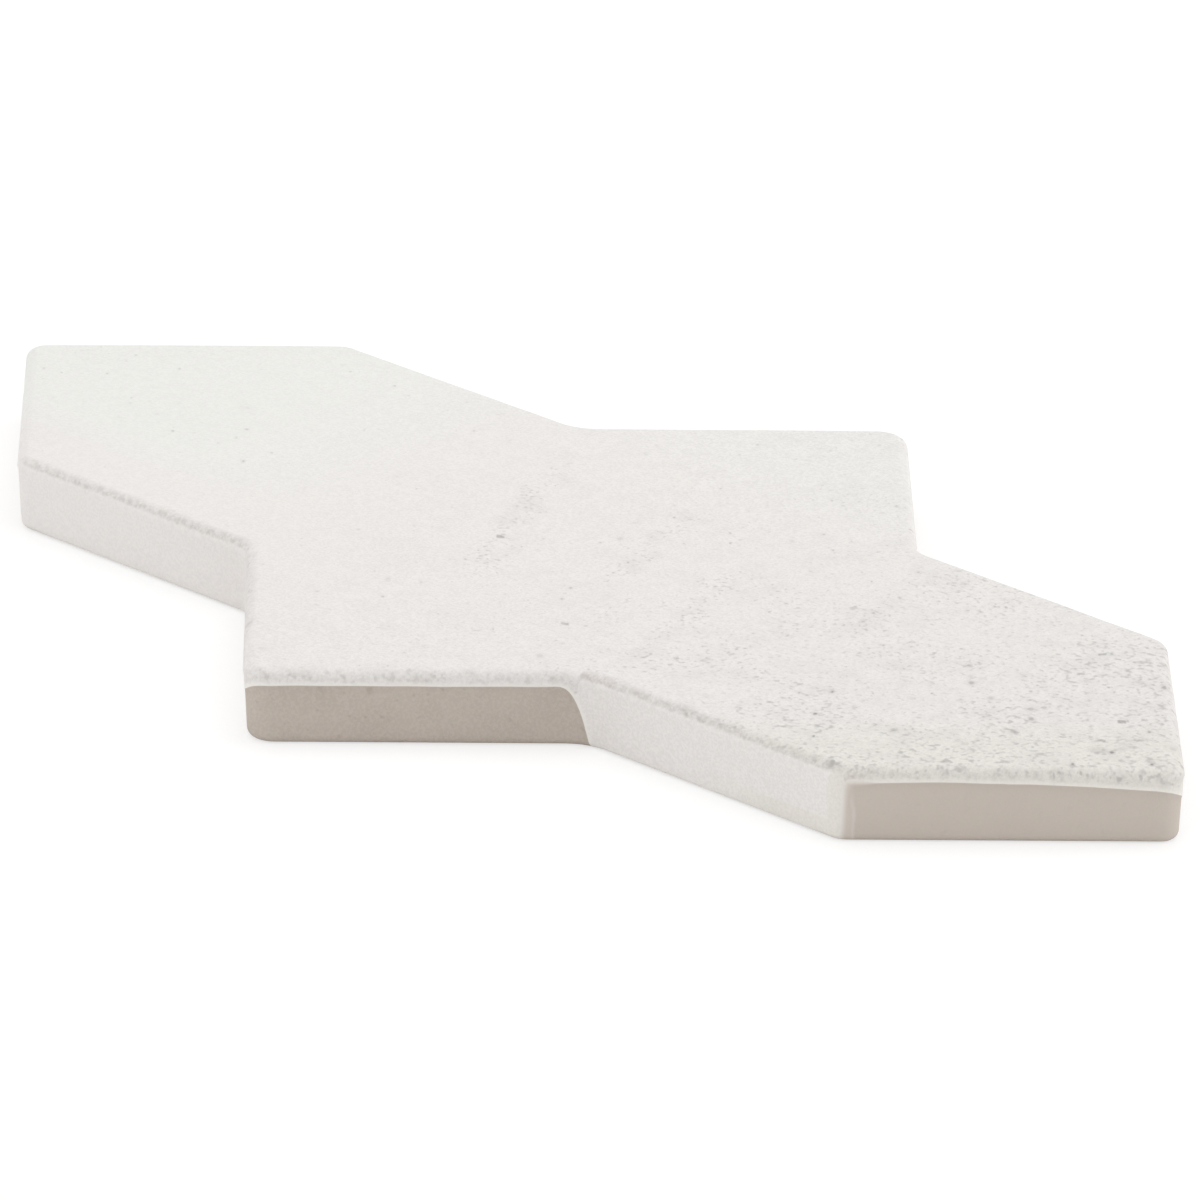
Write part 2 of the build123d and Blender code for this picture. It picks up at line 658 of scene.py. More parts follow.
class Wiring:
    """Adds and links the nodes of one shader tree."""

    def __init__(self, tree: bpy.types.NodeTree) -> None:
        """Starts with an empty tree."""
        self.tree = tree
        tree.nodes.clear()

    def node(self, kind: str, **settings: Any) -> bpy.types.Node:
        """Adds a node and sets its options.

        Args:
            kind: Blender's name for the node's type.
            settings: Options of the node.

        Returns:
            The new node.
        """
        made = self.tree.nodes.new(kind)
        for name, value in settings.items():
            setattr(made, name, value)
        return made

    def feed(self, socket: bpy.types.NodeSocket, value: Any) -> None:
        """Links a socket to a node's output, or writes a plain value into it.

        Args:
            socket: Input of a node.
            value: An output, a number, or a colour.
        """
        if isinstance(value, Value):
            self.tree.links.new(value.socket, socket)
        elif isinstance(value, tuple) and socket.type == "RGBA":
            socket.default_value = (*value, 1.0)
        else:
            socket.default_value = value

    def fill(self, node: bpy.types.Node, **values: Any) -> bpy.types.Node:
        """Feeds a node's inputs by name, with an underscore for each space in a name.

        Args:
            node: The node.
            values: What each input takes.

        Returns:
            The same node.
        """
        for name, value in values.items():
            self.feed(node.inputs[name.replace("_", " ")], value)
        return node

    def outputs(self, node: bpy.types.Node) -> dict[str, Value]:
        """A node's outputs by name."""
        return {socket.name: Value(self, socket) for socket in node.outputs}

    def math(self, operation: str, first: Any, second: Any = 0.0, clamp: bool = False) -> Value:
        """One step of arithmetic on two values.

        Args:
            operation: Blender's name for the step.
            first: First value.
            second: Second value.
            clamp: Whether the result is kept from 0 to 1.

        Returns:
            The result.
        """
        made = self.node("ShaderNodeMath", operation=operation, use_clamp=clamp)
        self.feed(made.inputs[0], first)
        self.feed(made.inputs[1], second)
        return Value(self, made.outputs[0])

    def layered(self, colour: Any, layers: list[tuple[Value, Any]]) -> Value:
        """Lays paints over a colour in order, each with its own share.

        Args:
            colour: The colour below.
            layers: Share and colour of each paint.

        Returns:
            The painted colour.
        """
        for share, paint in layers:
            made = self.node("ShaderNodeMix", data_type="RGBA")
            for name, given in (("Factor_Float", share), ("A_Color", colour), ("B_Color", paint)):
                self.feed(next(s for s in made.inputs if s.identifier == name), given)
            colour = Value(self, next(s for s in made.outputs if s.identifier == "Result_Color"))
        return colour

    def noise(self, place: Value, fineness: Any, detail: float, roughness: float) -> Value:
        """Soft noise about a half.

        Args:
            place: Place of the surface point.
            fineness: Swells in a metre.
            detail: Finer levels of the noise.
            roughness: How much the finer levels count.

        Returns:
            The noise.
        """
        made = self.node("ShaderNodeTexNoise")
        self.fill(made, Vector=place, Scale=fineness, Detail=detail, Roughness=roughness)
        return Value(self, made.outputs["Fac"])

    def patches(self, place: Value, kind: Patches, start: float = 0.0, end: float = 1.0) -> Value:
        """Mask of soft patches."""
        cloud = self.noise(place, kind.fineness, kind.detail, kind.roughness)
        return cloud.span(kind.low, kind.high, start, end)

    def place(self, group: bpy.types.NodeTree, **values: Any) -> dict[str, Value]:
        """Places a node group, fills in its inputs and gives its outputs."""
        return self.outputs(self.fill(self.node("ShaderNodeGroup", node_tree=group), **values))

    def stored(self, name: str) -> Value:
        """Reads a value that the mesh stores at each corner point."""
        return self.outputs(self.node("ShaderNodeAttribute", attribute_name=name))["Fac"]

    def object_place(self) -> Value:
        """Place of a surface point in the tile's own frame, in metres."""
        return self.outputs(self.node("ShaderNodeTexCoord"))["Object"]

    def axes(self, place: Value) -> dict[str, Value]:
        """A place split into its X, Y and Z."""
        return self.outputs(self.fill(self.node("ShaderNodeSeparateXYZ"), Vector=place))

    def turned(self, place: Value, middle: Range, turn: float, stretch: float = 1.0) -> Value:
        """Place from another middle and along another direction, with what lies across it stretched.

        Args:
            place: Place of the surface point.
            middle: The other middle.
            turn: The other direction, from the band.
            stretch: How much is stretched.

        Returns:
            The turned place.
        """
        made = self.fill(
            self.node("ShaderNodeMapping", vector_type="TEXTURE"),
            Vector=place, Location=(*middle, 0.0), Rotation=(0.0, 0.0, turn), Scale=(1.0, stretch, 1.0),
        )
        return Value(self, made.outputs["Vector"])

    def close(self, shader: bpy.types.Node, kind: str = "ShaderNodeOutputMaterial") -> None:
        """Ends the tree with its shader."""
        self.fill(self.node(kind), Surface=Value(self, shader.outputs[0]))

    def surface(self, colour: Value, roughness: Any, height: Value, relief: Relief) -> None:
        """Ends a material that has a colour, a roughness and a bump.

        Args:
            colour: Its colour.
            roughness: Its roughness.
            height: Height of its bump.
            relief: How the bump shows.
        """
        bump = self.node("ShaderNodeBump")
        self.fill(bump, Height=height, Strength=relief.strength, Distance=relief.height)
        shader = self.node("ShaderNodeBsdfPrincipled")
        self.fill(shader, Base_Color=colour, Roughness=roughness, Normal=self.outputs(bump)["Normal"])
        self.close(shader)


def open_material(name: str) -> tuple[bpy.types.Material, Wiring]:
    """Starts an empty material.

    Args:
        name: Name of the material.

    Returns:
        The material and its wiring.
    """
    made = bpy.data.materials.new(name)
    made.use_nodes = True
    return made, Wiring(made.node_tree)


class Effects:
    """Surface effects that more than one finish uses, each a node group built once."""

    speck_turn: float = math.radians(44)
    speck_stretch: float = 1.5
    speck_size: Range = (0.09, 0.28)
    ragged_fineness: float = 1500.0
    ragged_by: float = 0.3 * MM
    clay_fineness: float = 2600.0
    clay_clouds: Patches = Patches(95.0, 3.0, 0.55, 0.35, 0.7)
    pores: Spots = Spots(900.0, 0.55, 0.0, 0.16)

    def __init__(self) -> None:
        """Builds the groups."""
        self.grain = self._grain()
        self.mottle = self._mottle()
        self.specks = self._specks()
        self.clay = self._clay()

    @staticmethod
    def _open(name: str, inputs: str, outputs: str) -> tuple[Wiring, dict[str, Value], Any]:
        """Starts a node group.

        Args:
            name: Name of the group.
            inputs: Each input's name and kind, such as "Place:Vector", with spaces between them.
            outputs: Each output's, in the same way.

        Returns:
            The group's wiring, its inputs and the sockets of its outputs.
        """
        tree = bpy.data.node_groups.new(name, "ShaderNodeTree")
        wiring = Wiring(tree)
        for direction, sockets in (("INPUT", inputs), ("OUTPUT", outputs)):
            for label, kind in (socket.split(":") for socket in sockets.split()):
                tree.interface.new_socket(label, in_out=direction, socket_type="NodeSocket" + kind)
        return wiring, wiring.outputs(wiring.node("NodeGroupInput")), wiring.node("NodeGroupOutput").inputs

    def _grain(self) -> bpy.types.NodeTree:
        """Sandy grain: a fine value about a half, and a height for bump.

        Returns:
            The group's tree.
        """
        wiring, given, made = self._open(
            "sandy_grain", "Place:Vector Fineness:Float", "Value:Float Height:Float"
        )
        fine = wiring.noise(given["Place"], given["Fineness"], 3.0, 0.65)
        coarse = wiring.noise(given["Place"], given["Fineness"] * 0.23, 2.0, 0.5)
        both = fine * 0.85 + coarse * 0.15
        wiring.feed(made["Value"], both.span(0.3, 0.7))
        wiring.feed(made["Height"], both)
        return wiring.tree

    def _mottle(self) -> bpy.types.NodeTree:
        """Clouded spots, more of them where the cover is higher and blurred by their softness.

        Returns:
            The group's tree.
        """
        wiring, given, made = self._open(
            "mottle", "Place:Vector Fineness:Float Cover:Float Softness:Float", "Mask:Float"
        )
        spots = wiring.noise(given["Place"], given["Fineness"], 1.6, 0.45)
        limit = 0.80 - given["Cover"] * 0.30
        wiring.feed(made["Mask"], spots.span(limit, limit + given["Softness"]))
        return wiring.tree

    def _specks(self) -> bpy.types.NodeTree:
        """Single specks of many sizes on a level surface, drawn out a little across one slant.

        The cover is the share of the cells of a loose net that hold a speck.

        Returns:
            The group's tree.
        """
        wiring, given, made = self._open("specks", "Place:Vector Fineness:Float Cover:Float", "Mask:Float")
        ragged = wiring.fill(
            wiring.node("ShaderNodeTexNoise"), Vector=given["Place"], Scale=self.ragged_fineness
        )
        moved = wiring.node("ShaderNodeVectorMath", operation="MULTIPLY_ADD")
        wiring.feed(moved.inputs[0], wiring.outputs(ragged)["Color"])
        wiring.feed(moved.inputs[1], (self.ragged_by, self.ragged_by, 0.0))
        drawn = wiring.turned(given["Place"], (0.0, 0.0), self.speck_turn, self.speck_stretch)
        wiring.feed(moved.inputs[2], drawn)
        cells = wiring.node("ShaderNodeTexVoronoi", voronoi_dimensions="2D", feature="F1")
        wiring.fill(cells, Vector=Value(wiring, moved.outputs[0]), Scale=given["Fineness"])
        cell = wiring.outputs(cells)
        chance = wiring.outputs(wiring.fill(wiring.node("ShaderNodeSeparateColor"), Color=cell["Color"]))
        held = wiring.math("GREATER_THAN", chance["Red"] - (1.0 - given["Cover"]), 0.0)
        size = chance["Blue"].span(0.0, 1.0, *self.speck_size)
        spot = cell["Distance"].span(size, size * 0.2)
        halo = cell["Distance"].span(size * 1.8, 0.0, 0.0, 0.4)
        depth = wiring.math("POWER", chance["Green"], 2.5) * 0.85 + 0.15
        wiring.feed(made["Mask"], spot.larger(halo) * held * depth)
        return wiring.tree

    def _clay(self) -> bpy.types.NodeTree:
        """Bare pressed clay: mottled colour, pores and a rough height.

        Returns:
            The group's tree.
        """
        wiring, given, made = self._open(
            "bare_clay", "Place:Vector Body:Color Deep:Color Pale:Color", "Colour:Color Height:Float"
        )
        place = given["Place"]
        grain = wiring.place(self.grain, Place=place, Fineness=self.clay_fineness)
        fineness, cover, _, softness = self.pores
        pores = wiring.place(self.mottle, Place=place, Fineness=fineness, Cover=cover, Softness=softness)
        colour = wiring.layered(given["Body"], [
            (wiring.patches(place, self.clay_clouds, 0.0, 0.35), given["Deep"]),
            (grain["Value"].span(0.2, 0.9, 0.0, 0.45), given["Pale"]),
            (pores["Mask"] * 0.75, given["Deep"]),
        ])
        wiring.feed(made["Colour"], colour)
        wiring.feed(made["Height"], grain["Height"] + pores["Mask"] * -0.6)
        return wiring.tree


@dataclass(frozen=True)
class ClayFinish:
    """Colours and relief of the bare clay body."""

    body: Colour = (0.545, 0.480, 0.423)
    deep: Colour = (0.440, 0.380, 0.330)
    pale: Colour = (0.635, 0.568, 0.508)
    roughness: float = 0.9
    relief: Relief = Relief(0.35, 0.15 * MM)
    dust: Patches = Patches(240.0, 4.0, 0.6, 0.45, 0.72)

    def wire(self, wiring: Wiring, effects: Effects, place: Value) -> dict[str, Value]:
        """Places the bare clay in a material."""
        return wiring.place(effects.clay, Place=place, Body=self.body, Deep=self.deep, Pale=self.pale)

    def material(self, effects: Effects) -> bpy.types.Material:
        """The keyed back: bare clay with the pale dust of the kiln on it.

        Args:
            effects: The shared effects.

        Returns:
            The material.
        """
        made, wiring = open_material("bare_clay_back")
        place = wiring.object_place()
        clay = self.wire(wiring, effects, place)
        colour = wiring.layered(clay["Colour"], [(wiring.patches(place, self.dust, 0.0, 0.4), self.pale)])
        wiring.surface(colour, self.roughness, clay["Height"], self.relief)
        return made


class Mark(NamedTuple):
    """A long mark in the glaze of the face, in millimetres and degrees.

    Attributes:
        x: Place of its middle along the band.
        y: Place of its middle across the band.
        turn: Its direction in plan, from the band.
        half_length: Half of its length.
        half_width: Half of its width.
        strength: How much it shows.
        kept: How much of it is left where it is broken.
    """

    x: float
    y: float
    turn: float
    half_length: float
    half_width: float
    strength: float
    kept: float = 0.0


class SkinPoint(NamedTuple):
    """What the wiring of the glaze knows of a point of the skin.

    Attributes:
        wiring: The material's wiring.
        effects: The shared effects.
        place: Place of the point.
        axes: The same place, split into its axes.
        inside_by: How far the point lies inside the glaze, in millimetres.
        stain: How far it lies below the middle of the stain, in millimetres.
        upper: 1 above the stain and 0 below it.
    """

    wiring: Wiring
    effects: Effects
    place: Value
    axes: dict[str, Value]
    inside_by: Value
    stain: Value
    upper: Value


@dataclass(frozen=True)
class GlazeFinish:
    """Matt off-white glaze with specks, faint streaks and a stained arris, over bare clay sides."""

    white: Colour = (0.884, 0.848, 0.825)
    cool: Colour = (0.880, 0.884, 0.840)
    warm: Colour = (0.856, 0.825, 0.770)
    # Painted highlight: a lighter, warmer colour laid along the glaze's lip
    lip: Colour = (0.925, 0.898, 0.845)
    grey: Colour = (0.60, 0.577, 0.557)
    faint: Colour = (0.50, 0.478, 0.462)
    dark: Colour = (0.20, 0.187, 0.178)
    stain: Colour = (0.46, 0.435, 0.405)
    rust: Colour = (0.56, 0.46, 0.41)
    film: Colour = (0.70, 0.635, 0.578)
    roughness: float = 0.52
    roughness_spread: float = 0.12
    relief: Relief = Relief(0.4, 0.12 * MM)
    clay: ClayFinish = field(default_factory=ClayFinish)
    # Stretches of the tile, by distance from its middle, and one of its height
    right_end: Range = (-10 * MM, 105 * MM)
    past_left_end: Range = (-60 * MM, 10 * MM)
    sandy: Range = (-70 * MM, 0.0)
    left_end: Range = (-25 * MM, -70 * MM)
    left_far: Range = (-26 * MM, -12 * MM)
    far_point: Range = (15 * MM, 50 * MM)
    right_near: Range = (82 * MM, 98 * MM)
    near_half: Range = (0.0, -14 * MM)
    past_left_tip: Range = (-86 * MM, -70 * MM)
    blotched: Range = (20 * MM, 80 * MM)
    pale_ends: Range = (30 * MM, 80 * MM)
    film_line: Range = (8.5 * MM, 5.0 * MM)
    # Steps by distance inside the glaze or below the stain, in millimetres, and the shares they lead to
    above_stain: Range = (0.9, -0.8)
    # Painted highlight along the lip, strongest at the glaze's end and gone 0.75 mm inside it
    lip_highlight: Step = (0.75, 0.10, 0.0, 0.65)
    warm_lip: Range = (2.9, 2.4)
    stain_wander: Step = (1.8, 2.8, 1.4, 0.7)
    stain_from: Range = (-2.4, 0.0)
    stain_to: Range = (0.75, 0.0)
    stain_shows: Step = (1.6, 2.8, 0.22, 0.46)
    dots_from: Range = (-2.6, -0.6)
    dots_to: Range = (1.3, 0.5)
    dots_show: Step = (2.8, 1.8, 0.05, 0.16)
    # Painted shade: the clay darkens towards the glaze's end, within 1.6 mm below it
    shade_under_lip: Step = (-1.6, 0.0, 0.0, 0.18)
    film_shows: Step = (-0.25, 0.6, 0.0, 0.6)
    film_border: Step = (0.40, 0.02, 0.0, 0.24)
    # Steps by how much the spots crowd, and other shares
    crumbs_show: Step = (0.0, 0.8, 0.10, 0.60)
    clouds_show: Step = (0.0, 0.8, 0.25, 0.80)
    large_show: Step = (0.0, 0.5, 0.32, 0.85)
    fine_show: float = 0.42
    smudges_show: float = 0.30
    rust_shows: float = 0.3
    right_greyer: float = 0.10
    sandy_sides: float = 0.8
    # Grain, patches and spots
    grain_fineness: float = 2500.0
    clumps: Patches = Patches(80.0, 2.0, 0.5, 0.40, 0.66)
    smudges: Patches = Patches(240.0, 3.0, 0.6, 0.40, 0.72)
    flecks: Patches = Patches(1300.0, 2.5, 0.6, 0.34, 0.64)
    rusty: Patches = Patches(150.0, 2.0, 0.5, 0.56, 0.68)
    blotches: Patches = Patches(240.0, 2.5, 0.55, 0.54, 0.68)
    crumbs: Spots = Spots(1400.0, 0.62, 0.40, 0.26)
    clouds: Spots = Spots(700.0, 0.44, 0.50, 0.24)
    arris_dots: Spots = Spots(1300.0, 0.0, 0.85, 0.22)
    fine_specks: Spots = Spots(800.0, 0.03, 0.30)
    large_specks: Spots = Spots(390.0, 0.02, 0.36)
    streaks: tuple[Mark, ...] = (
        Mark(-13.5, 0.9, -61.6, 31, 3.6, 0.8, 0.45),
        Mark(6.7, 5.6, -70.3, 18, 2.6, 0.6, 0.45),
        Mark(26.4, -8.2, -68.0, 21, 3.0, 0.65, 0.45),
    )
    fissures: tuple[Mark, ...] = (
        Mark(95.9, 1.6, 54.0, 4.4, 0.7, 0.5),
        Mark(90.2, -2.6, 44.0, 1.3, 0.5, 0.55),
        Mark(100.1, 5.6, 44.0, 2.4, 0.6, 0.4),
        Mark(96.4, -1.7, 44.0, 3.2, 2.0, 0.22),
    )
    single_specks: tuple[Mark, ...] = tuple(
        Mark(x, y, 44.0, 0.7, 0.9, 0.6, 0.6)
        for x, y in ((-10.0, -5.6), (17.7, -21.5), (74.2, 21.8), (91.6, 6.4))
    )

    def material(self, effects: Effects) -> bpy.types.Material:
        """The face and the sides, with the glaze and the clay in their places.

        Args:
            effects: The shared effects.

        Returns:
            The material.
        """
        made, wiring = open_material("white_glaze_over_clay")
        place = wiring.object_place()
        inside_by, stain = wiring.stored("glaze_edge"), wiring.stored("stain")
        point = SkinPoint(
            wiring, effects, place, wiring.axes(place), inside_by, stain, stain.span(*self.above_stain)
        )
        grain = wiring.place(effects.grain, Place=place, Fineness=self.grain_fineness)
        glaze = self._arris_stain(point, self._face_colour(point, grain["Value"]))
        # Painted highlight: the glaze is lightened towards its lip
        glaze = wiring.layered(glaze, [(inside_by.span(*self.lip_highlight), self.lip)])
        clay = self.clay.wire(wiring, effects, place)
        soft = wiring.stored("edge_soft")
        coat = inside_by.span(soft * -1.0, soft)
        bare = 1.0 - coat
        colour = wiring.layered(self._bare_colour(point, clay["Colour"]), [(coat, glaze)])
        rough = grain["Value"] * self.roughness_spread + (self.roughness - self.roughness_spread / 2)
        rough = rough + bare * (self.clay.roughness - self.roughness)
        wiring.surface(colour, rough, clay["Height"] * bare + grain["Height"] * coat, self.relief)
        return made

    def _face_colour(self, point: SkinPoint, grain: Value) -> Value:
        """Colour of the glaze: a soft drift, sandy grain, smudges, and specks that crowd the right end.

        Args:
            point: The surface point.
            grain: Value of the grain there.

        Returns:
            The glaze's colour.
        """
        wiring, effects, place, axes, _, _, upper = point
        right = axes["X"].span(*self.right_end) * upper
        clumps = wiring.patches(place, self.clumps)
        sparse = right * (clumps * 0.5 + 0.45) + clumps * 0.12
        light = sparse + axes["X"].span(*self.past_left_end, 0.0, 0.25)
        for mark in self.streaks:
            streak = self._mark(wiring, place, mark)
            light = light + streak
            sparse = sparse + streak * 0.3
        light = wiring.math("MULTIPLY", light, upper, clamp=True)
        sparse = wiring.math("MULTIPLY", sparse, upper, clamp=True)
        heavy = right * right * clumps.span(0.0, 1.0, 0.45, 1.0)
        sandy = axes["X"].span(*self.sandy, 0.20, 0.30) * upper.span(0.0, 1.0, self.sandy_sides, 1.0)
        crumbs = self._spread(point, effects.mottle, self.crumbs, light)
        clouds = self._spread(point, effects.mottle, self.clouds, sparse)
        fine = self._spread(point, effects.specks, self.fine_specks, sparse)
        large = self._spread(point, effects.specks, self.large_specks, heavy)
        layers = [
            (right * self.right_greyer, self.grey),
            (wiring.patches(place, self.smudges) * light * self.smudges_show, self.grey),
            (sandy * grain.span(0.9, 0.1), self.grey),
            (crumbs * light.span(*self.crumbs_show), self.faint),
            (clouds * sparse.span(*self.clouds_show), self.faint),
            (fine * self.fine_show, self.dark),
            (large * heavy.span(*self.large_show), self.dark),
        ]
        for mark in self.fissures + self.single_specks:
            layers.append((self._mark(wiring, place, mark) * upper, self.dark))
        return wiring.layered(self._tint(point), layers)

    def _tint(self, point: SkinPoint) -> Value:
        """White that drifts: cooler to the left end and the far point, warmer along the near right run.

        Args:
            point: The surface point.

        Returns:
            The drifting white.
        """
        x, y = point.axes["X"], point.axes["Y"]
        far_left = x.span(*self.left_end, 0.0, 0.85) * y.span(*self.left_far)
        cool = far_left.larger(y.span(*self.far_point, 0.0, 0.5)) * point.upper
        face_and_lip = point.upper.larger(point.inside_by.span(*self.warm_lip))
        warm = (x - y).span(*self.right_near) * face_and_lip
        return point.wiring.layered(self.white, [(cool, self.cool), (warm, self.warm)])

    @staticmethod
    def _spread(point: SkinPoint, effect: bpy.types.NodeTree, spots: Spots, crowd: Value) -> Value:
        """Spreads one kind of spot, denser where the spots crowd.

        Args:
            point: The surface point.
            effect: The spots' group.
            spots: Their kind.
            crowd: How much they crowd at the point.

        Returns:
            The spots' mask.
        """
        values = {} if spots.softness is None else {"Softness": spots.softness}
        cover = crowd * spots.crowding + spots.cover
        made = point.wiring.place(effect, Place=point.place, Fineness=spots.fineness, Cover=cover, **values)
        return made["Mask"]

    @staticmethod
    def _mark(wiring: Wiring, place: Value, mark: Mark) -> Value:
        """Mask of one long mark, ragged at its borders and broken along its length.

        Args:
            wiring: The material's wiring.
            place: Place of the surface point.
            mark: The mark.

        Returns:
            The mark's mask, as strong as it shows.
        """
        width, length = mark.half_width * MM, mark.half_length * MM
        axes = wiring.axes(wiring.turned(place, (mark.x * MM, mark.y * MM), math.radians(mark.turn)))
        ragged = (wiring.noise(place, 0.35 / width, 2.0, 0.55) - 0.5) * (3.0 * width)
        broken = wiring.patches(place, Patches(0.5 / width, 2.0, 0.6, 0.36, 0.60), mark.kept)
        across, along = abs(axes["Y"] + ragged), abs(axes["X"])
        solid = across.span(width, 0.1 * width) * along.span(length, 0.55 * length)
        return solid * broken * mark.strength

    def _arris_stain(self, point: SkinPoint, colour: Value) -> Value:
        """Grey speckled stain, with a little rust, where the face turns over the near arrises.

        Args:
            point: The surface point.
            colour: Colour of the glaze so far.

        Returns:
            The stained colour.
        """
        wiring, effects, place, axes, inside_by, stain, _ = point
        wander = wiring.noise(place, 520.0, 3.0, 0.6) - 0.5
        below = stain + wander * inside_by.span(*self.stain_wander)
        near = axes["Y"].span(*self.near_half) * axes["X"].span(*self.past_left_tip)
        band = below.span(*self.stain_from) * below.span(*self.stain_to) * near
        amount = band * wiring.patches(place, self.flecks, 0.3, 1.0)
        blotch = wiring.patches(place, self.blotches) * axes["X"].span(*self.blotched, 0.25, 0.6)
        wide = below.span(*self.dots_from) * below.span(*self.dots_to) * near
        dots = self._spread(point, effects.mottle, self.arris_dots, wide)
        return wiring.layered(colour, [
            (amount * inside_by.span(*self.stain_shows), self.stain),
            (amount * wiring.patches(place, self.rusty) * self.rust_shows, self.rust),
            (amount * blotch, self.stain),
            (dots * inside_by.span(*self.dots_show), self.dark),
        ])

    def _bare_colour(self, point: SkinPoint, clay: Value) -> Value:
        """Colour of the bare sides: paler at the ends, with painted shade just under the lip, and a film
        beside each shoulder.

        Args:
            point: The surface point.
            clay: Colour of the clay.

        Returns:
            The colour of the bare sides.
        """
        wiring, axes = point.wiring, point.axes
        wander = wiring.noise(point.place, 260.0, 2.0, 0.5) - 0.5
        reach = wiring.stored("film") + wander * 0.9
        line = abs(reach).span(*self.film_border) * axes["Z"].span(*self.film_line)
        return wiring.layered(clay, [
            (abs(axes["X"]).span(*self.pale_ends, 0.0, 0.80), self.clay.pale),
            # Painted shade on the clay just under the lip
            (point.inside_by.span(*self.shade_under_lip), self.clay.deep),
            (reach.span(*self.film_shows), self.film),
            (line, self.white),
        ])


